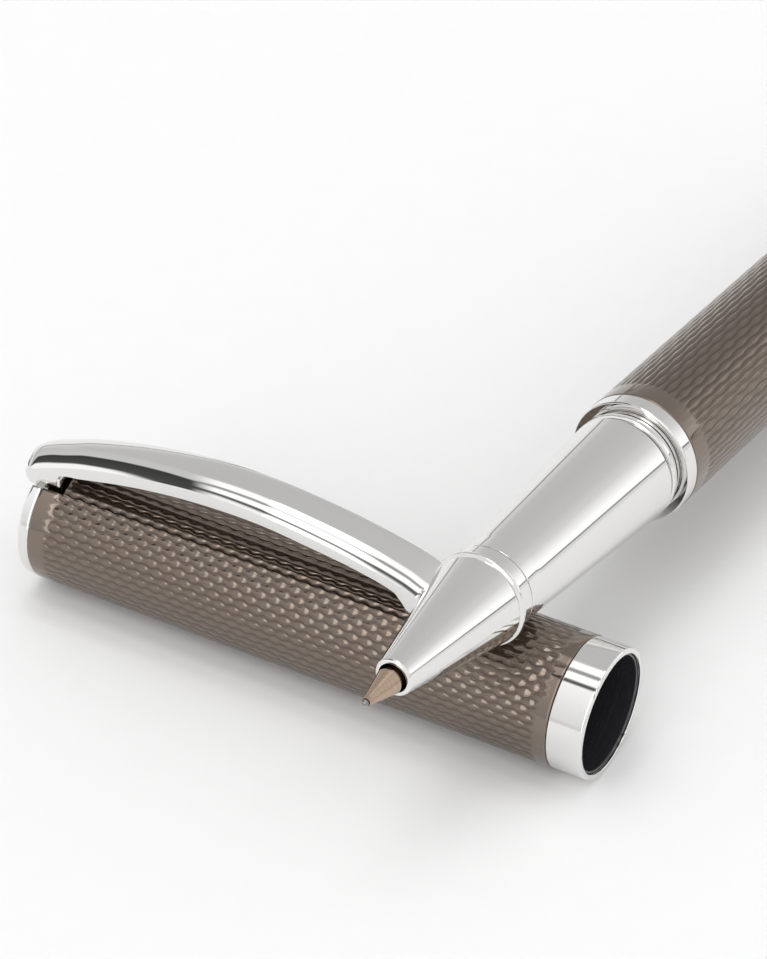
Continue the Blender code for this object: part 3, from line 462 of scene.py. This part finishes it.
leg_low = Vector((1.00, -CLIP_HALF_WIDTH, -58.86)) * MM
leg_high = Vector((7.30, CLIP_HALF_WIDTH, -57.16)) * MM
leg_size = Matrix.Diagonal((*(leg_high - leg_low), 1.0))
leg_fit = Matrix.Translation((leg_low + leg_high) / 2) @ leg_size
leg = bmesh.ops.create_cube(clip, size=1.0, matrix=leg_fit)["verts"]
leg_edges = list({edge for vert in leg for edge in vert.link_edges})
bmesh.ops.bevel(clip, geom=leg_edges, offset=0.25 * MM, segments=3, profile=0.5, affect="EDGES",
                material=-1)
piece = settle("clip_arch", clip, CAP, cap_chrome, "clip", "clip", crease=32.0)

# ---------------------------------------------------------------- refill
# Capped rollerball refill: a metal tube with a fibre reservoir, a black front plug, and a nickel
# silver cone that holds the tungsten carbide ball.
pen_way = Vector(joint_at["barrel_unscrew"]["axis"])
BARREL_FRONT = 47.35
pen_start = Vector(joint_at["barrel_unscrew"]["pos_m"]) - pen_way * BARREL_FRONT * MM
PEN = axis_frame(pen_start, pen_way, (0.0, 0.0, 1.0))


def nickel_silver(name, place):
    """Nickel silver turned on a small lathe: pale warm gold with tool rings 0.09 mm apart."""
    material, tree, shader = finish_of(name, Metallic=1.0)
    rings = grain_of(tree, place, 8.0, 0.09)
    tinted(tree, shader, rings, "#CDB6A2", "#96806E")
    glossed(tree, shader, rings, 0.16, 0.34)
    dented(tree, shader, rings, 0.5, 0.02)
    return material


tip = lathe(eased([(0.455, 0.385), (0.455, 0.47), (0.62, 0.49), (0.70, 0.45), (4.20, 1.30),
                   (4.20, 1.12), (12.0, 1.12), (12.0, 0.21), (0.86, 0.21), (0.86, 0.385)], 0.03),
            steps=64)
piece = settle("refill_tip_cone", tip, PEN, nickel_silver("nickel_silver_tip", PEN), "refill",
               "refill_tip")


def carbide(name, place):
    """Sintered tungsten carbide: dark grey, lapped almost to a mirror, grain 0.03 mm."""
    material, tree, shader = finish_of(name, Base_Color=colour("#8C8D90"), Metallic=1.0)
    glossed(tree, shader, grain_of(tree, place, 0.03, 0.03), 0.08, 0.22)
    return material


BALL_RADIUS = 0.35
ball = bmesh.new()
bmesh.ops.create_icosphere(ball, subdivisions=4, radius=BALL_RADIUS * MM,
                           matrix=Matrix.Translation((0.0, 0.0, BALL_RADIUS * MM)))
piece = settle("writing_ball_lapped", ball, PEN, carbide("tungsten_carbide", PEN), "ball",
               "writing_ball")


def white_plastic(name, place):
    """Acetal: white, waxy, a little light gets in."""
    material, tree, shader = finish_of(name, Base_Color=colour("#E4E3DD"), Roughness=0.4,
                                       Subsurface_Weight=0.1, Subsurface_Scale=0.4 * MM)
    glossed(tree, shader, grain_of(tree, place, 0.8, 0.8, 3.0), 0.34, 0.48)
    return material


def refill_steel(name, place):
    """Drawn stainless tube: bright grey with fine lines running lengthwise."""
    material, tree, shader = finish_of(name, Base_Color=colour("#BDBDBB"), Metallic=1.0)
    glossed(tree, shader, grain_of(tree, place, 0.1, 6.0), 0.18, 0.34)
    return material


def ink_fibre(name, place):
    """Bonded polyester fibre soaked in blue-black ink: matt, fibres 0.08 mm thick lengthwise."""
    material, tree, shader = finish_of(name, Roughness=0.85)
    tinted(tree, shader, grain_of(tree, place, 0.08, 2.0, 3.0), "#11162E", "#2B3358")
    return material


pen_black = black_plastic("black_abs_pen", PEN)
pen_brass = turned_brass("turned_brass_pen", PEN)
pen_fibre = ink_fibre("ink_fibre", PEN)
for node, material in (("refill_front_plug", pen_black), ("feed_wick", pen_fibre),
                       ("refill_tube", refill_steel("drawn_stainless", PEN)),
                       ("ink_reservoir", pen_fibre),
                       ("refill_end_plug", white_plastic("white_acetal", PEN)),
                       ("refill_spring", spring_wire("drawn_steel_pen", PEN)),
                       ("spring_seat", pen_brass), ("barrel_thread_insert", pen_brass),
                       ("barrel_end_plug", pen_brass)):
    frame["nodes"][node].material_slots[0].material = material

# ---------------------------------------------------------------- nose cone
# Turned brass, chrome-plated, with a rounded bead at its rear that seals in the cap.  Its long
# spigot carries the collar and the front of the grip.
pen_chrome = chrome_plate("chrome_plate_pen", PEN)
NOSE_START = 4.78
BEAD_FRONT, BEAD_REAR = 19.40, 19.95
NECK_RADIUS = 4.37
nose = lathe(eased([(NOSE_START, 1.45), (NOSE_START, 1.67), (NOSE_START + 0.20, 1.87),
                    (BEAD_FRONT - 0.20, 4.54), (BEAD_FRONT - 0.09, 4.34), (BEAD_FRONT, 4.50),
                    (BEAD_FRONT + 0.10, 4.76), (BEAD_FRONT + 0.275, 4.80),
                    (BEAD_REAR - 0.10, 4.76), (BEAD_REAR, 4.56), (BEAD_REAR, 3.85),
                    (26.95, 3.85), (26.95, 3.25), (16.34, 3.25), (9.18, 2.08), (9.18, 1.45)],
                   0.09), steps=160)
piece = settle("nose_cone_turned", nose, PEN, pen_chrome, "section", "nose_cone")

# ---------------------------------------------------------------- collar and grip
# A short chrome collar behind the bead, then the long tapering grip.  Both are turned brass
# tubes, polished and plated, pushed on the nose spigot against each other.
collar = lathe(eased([(BEAD_REAR + FIT, 3.91), (BEAD_REAR + FIT, NECK_RADIUS),
                      (21.65, NECK_RADIUS), (21.65, 3.91)], 0.06), steps=160)
piece = settle("neck_collar_turned", collar, PEN, pen_chrome, "section", "neck_collar")

GRIP_REAR = 45.45
GRIP_REAR_RADIUS = 5.55
grip_line = [(21.71, 3.91), (21.71, NECK_RADIUS), (23.55, NECK_RADIUS),
             (23.95, NECK_RADIUS + 0.012)]
grip_line += [(GRIP_REAR, GRIP_REAR_RADIUS), (GRIP_REAR, 4.63), (38.05, 4.63), (38.05, 3.35),
              (27.01, 3.35), (27.01, 3.91)]
piece = settle("grip_sleeve_turned", lathe(eased(grip_line, 0.07), steps=160), PEN, pen_chrome,
               "section", "grip_sleeve")

# ---------------------------------------------------------------- section spigot and snap ring
# The plated core behind the grip: a groove, the sprung ring that clicks into the cap, a second
# groove, and the screw thread that holds the barrel.
THREAD_FRONT, THREAD_REAR, THREAD_PITCH = 49.95, 53.70, 0.75
THREAD_HEIGHT = 0.36
SPIGOT_RADIUS = 4.57
SNAP_GROOVE = 5.12
rows_per_turn = 12
thread_rows = round((THREAD_REAR - THREAD_FRONT) / THREAD_PITCH * rows_per_turn)
thread_line = [(THREAD_FRONT + (THREAD_REAR - THREAD_FRONT) * i / thread_rows, SPIGOT_RADIUS)
               for i in range(thread_rows + 1)]
spigot = eased([(38.11, 3.35), (38.11, SPIGOT_RADIUS), (45.51, SPIGOT_RADIUS), (45.51, SNAP_GROOVE),
                (45.95, SNAP_GROOVE), (45.95, 4.87), (46.85, 4.87), (46.85, SNAP_GROOVE),
                (47.29, SNAP_GROOVE), (47.29, SPIGOT_RADIUS)], 0.05, closed=False)
spigot = lathe(spigot + thread_line + [(54.6, SPIGOT_RADIUS), (54.9, 4.30), (54.9, 3.35)],
               steps=96)
for vert in spigot.verts:
    station = vert.co.z / MM
    if THREAD_FRONT < station < THREAD_REAR and math.hypot(vert.co.x, vert.co.y) > 4.4 * MM:
        turn = math.atan2(vert.co.y, vert.co.x) / math.tau
        phase = ((station - THREAD_FRONT) / THREAD_PITCH - turn) % 1.0
        fade = min(1.0, 2 * min(station - THREAD_FRONT, THREAD_REAR - station) / THREAD_PITCH)
        grow = 1.0 + THREAD_HEIGHT * abs(2 * phase - 1) * fade / SPIGOT_RADIUS
        vert.co.x, vert.co.y = vert.co.x * grow, vert.co.y * grow
piece = settle("section_spigot_threaded", spigot, PEN, pen_chrome, "section", "section_spigot")

snap = lathe(eased([(46.01, 4.93), (46.01, 5.30), (46.16, 5.50), (46.64, 5.50), (46.79, 5.30),
                    (46.79, 4.93)], 0.10))
piece = settle("snap_ring_rolled", snap, PEN, pen_chrome, "section", "snap_ring")

# ---------------------------------------------------------------- barrel
# Engraved and lacquered tube like the cap's, with longer eyes.  A chrome trim ring closes its
# front and a chrome disc its tail; the brass insert inside carries the thread.
trim = lathe(eased([(BARREL_FRONT, 5.08), (BARREL_FRONT, 6.19), (BARREL_FRONT + 0.12, 6.29),
                    (48.95, 6.33), (48.95, 5.79), (49.75, 5.79), (49.75, 5.08)], 0.08), steps=160)
piece = settle("barrel_trim_ring_turned", trim, PEN, pen_chrome, "barrel", "barrel_trim_ring")

BARREL_RADIUS = 6.35
barrel = engraved_tube(-49.01, -120.99, 5.85, BARREL_RADIUS, 60, 2.80, 2.3, 1.8, 12)
bmesh.ops.scale(barrel, vec=(1.0, 1.0, -1.0), verts=barrel.verts)
bmesh.ops.recalc_face_normals(barrel, faces=barrel.faces)
piece = settle("barrel_tube_engraved", barrel, PEN, taupe_lacquer("taupe_lacquer_barrel", PEN),
               "barrel", "barrel_tube", crease=50.0)

TAIL = 122.35
TAIL_RADIUS = 6.27
tail = lathe(eased([(121.05, 0.0), (121.05, TAIL_RADIUS), (TAIL - 0.30, TAIL_RADIUS),
                    (TAIL, TAIL_RADIUS - 0.30), (TAIL, 0.0)], 0.28, closed=False), closed=False)
piece = settle("barrel_end_disc_turned", tail, PEN, pen_chrome, "barrel", "barrel_end_disc")

# ---------------------------------------------------------------- floor, light and camera
# Matt white paper under a soft studio light: grey overhead, white boxes at the sides, thin dark
# seams between them, a dark card to the left and a brighter strip just left of the middle.
paper, tree, shader = finish_of("matt_white_paper", Roughness=0.9, Specular_IOR_Level=0.15)
tinted(tree, shader, grain_of(tree, Matrix.Identity(4), 3.0, 3.0), "#EFEFEF", "#F1F1F1")
sheet = bmesh.new()
bmesh.ops.create_grid(sheet, x_segments=8, y_segments=8, size=3.0)
mesh = bpy.data.meshes.new("paper_floor")
sheet.to_mesh(mesh)
sheet.free()
mesh.materials.append(paper)
floor = bpy.data.objects.new("paper_floor", mesh)
bpy.context.scene.collection.objects.link(floor)

studio = bpy.data.worlds.new("studio")
bpy.context.scene.world = studio
studio.use_nodes = True
tree = studio.node_tree
way = add(tree, "ShaderNodeTexCoord").outputs["Generated"]
parts = add(tree, "ShaderNodeSeparateXYZ", None, Vector=way)
background = tree.nodes["Background"]


def sky_band(sideways, levels):
    """Light by the angle in degrees from straight up, negative on the far side."""
    angle = add(tree, "ShaderNodeMath", {"operation": "ARCTAN2"}, i0=sideways,
                i1=parts.outputs["Z"])
    turn = add(tree, "ShaderNodeMapRange", None, Value=angle.outputs[0], From_Min=-math.pi,
               From_Max=math.pi)
    ramp = add(tree, "ShaderNodeValToRGB", None, Fac=turn.outputs[0])
    stops = ramp.color_ramp.elements
    points = [(0.5 + degrees / 360, level / 2) for degrees, level in levels]
    for stop, (position, level) in zip((stops[0], stops[1]), (points[0], points[-1])):
        stop.position = position
    for position, level in points[1:-1]:
        stops.new(position)
    for stop, (position, level) in zip(stops, points):
        stop.color = (level, level, level, 1.0)
    return ramp.outputs["Color"]


frontward = add(tree, "ShaderNodeMath", {"operation": "MULTIPLY"}, i0=parts.outputs["Y"], i1=-1.0)
over_cap = sky_band(frontward.outputs[0],
                    ((-100, 0.9), (-88, 0.9), (-86, 0.2), (-84, 0.6), (-60, 0.62), (-24, 0.66),
                     (-20, 1.25), (-8, 1.3), (-5, 0.35), (-1, 0.4), (2, 1.4), (12, 1.3),
                     (14.5, 0.10), (18.5, 0.12), (21, 1.15), (60, 0.97), (82, 0.88), (86, 0.75),
                     (90, 0.85)))
over_pen = sky_band(parts.outputs["X"],
                    ((-100, 0.9), (-85, 0.9), (-83.5, 0.08), (-82, 0.08), (-80.5, 0.8), (-60, 0.62),
                     (-30, 0.60), (-5, 0.62), (20, 0.66), (45, 0.80), (62, 1.1), (78, 1.4),
                     (81, 1.3), (82.2, 0.05), (83.6, 0.05), (84.8, 0.85), (100, 0.85)))
over_clip_root = sky_band(frontward.outputs[0],
                          ((-100, 0.9), (-88, 0.9), (-86, 0.2), (-84, 0.6), (-24, 0.66),
                           (-4, 0.70), (-1, 0.05), (28, 0.08), (32, 1.2), (60, 1.0), (90, 0.9)))
leftward = add(tree, "ShaderNodeMapRange", {"interpolation_type": "SMOOTHSTEP"},
               Value=parts.outputs["X"], From_Min=-0.45, From_Max=-0.60)
over_cap = add(tree, "ShaderNodeMix", {"data_type": "RGBA"}, i0=leftward.outputs[0], i6=over_cap,
               i7=over_clip_root).outputs[2]
near_edge = add(tree, "ShaderNodeMapRange", {"interpolation_type": "SMOOTHSTEP"},
                Value=parts.outputs["X"], From_Min=-0.29, From_Max=-0.225)
far_edge = add(tree, "ShaderNodeMapRange", {"interpolation_type": "SMOOTHSTEP"},
               Value=parts.outputs["X"], From_Min=-0.02, From_Max=0.10, To_Min=1.6, To_Max=0.0)
rightward = add(tree, "ShaderNodeMath", {"operation": "MULTIPLY_ADD"}, i0=near_edge.outputs[0],
                i1=far_edge.outputs[0], i2=1.0)
over_cap = add(tree, "ShaderNodeVectorMath", {"operation": "SCALE"}, i0=over_cap,
               Scale=rightward.outputs[0]).outputs[0]
behind = add(tree, "ShaderNodeMapRange", {"interpolation_type": "SMOOTHSTEP"},
             Value=parts.outputs["Y"], From_Min=0.30, From_Max=0.37)
sky = add(tree, "ShaderNodeMix", {"data_type": "RGBA"}, i0=behind.outputs[0], i6=over_cap,
          i7=over_pen)
tree.links.new(sky.outputs[2], background.inputs["Color"])
background.inputs["Strength"].default_value = 2.0

# A big soft panel overhead lights the paper and the matt pieces; the metals mirror the sky alone.
panel = bpy.data.lights.new("overhead_panel", "AREA")
panel.shape = "SQUARE"
PANEL_SIZE, PANEL_LEVEL = 1.6, 0.24
panel.size = PANEL_SIZE
panel.energy = PANEL_LEVEL * math.pi * PANEL_SIZE ** 2
holder = bpy.data.objects.new("overhead_panel", panel)
holder.location = (0.0, 0.0, 1.2)
holder.visible_glossy = False
bpy.context.scene.collection.objects.link(holder)

bpy.context.scene.view_settings.view_transform = "Standard"
aim = Vector((-0.00815, -0.01205, 0.0))
azimuth, elevation, distance = math.radians(28.94), math.radians(39.74), 0.4469
camera = bpy.data.cameras.new("camera")
camera.lens = 168.9
camera.sensor_width = 36.0
camera.clip_start = 0.01
holder = bpy.data.objects.new("camera", camera)
holder.location = aim + distance * Vector((math.sin(azimuth) * math.cos(elevation),
                                           -math.cos(azimuth) * math.cos(elevation),
                                           math.sin(elevation)))
holder.rotation_mode = "QUATERNION"
holder.rotation_quaternion = (holder.location - aim).to_track_quat("Z", "Y")
bpy.context.scene.collection.objects.link(holder)
bpy.context.scene.camera = holder
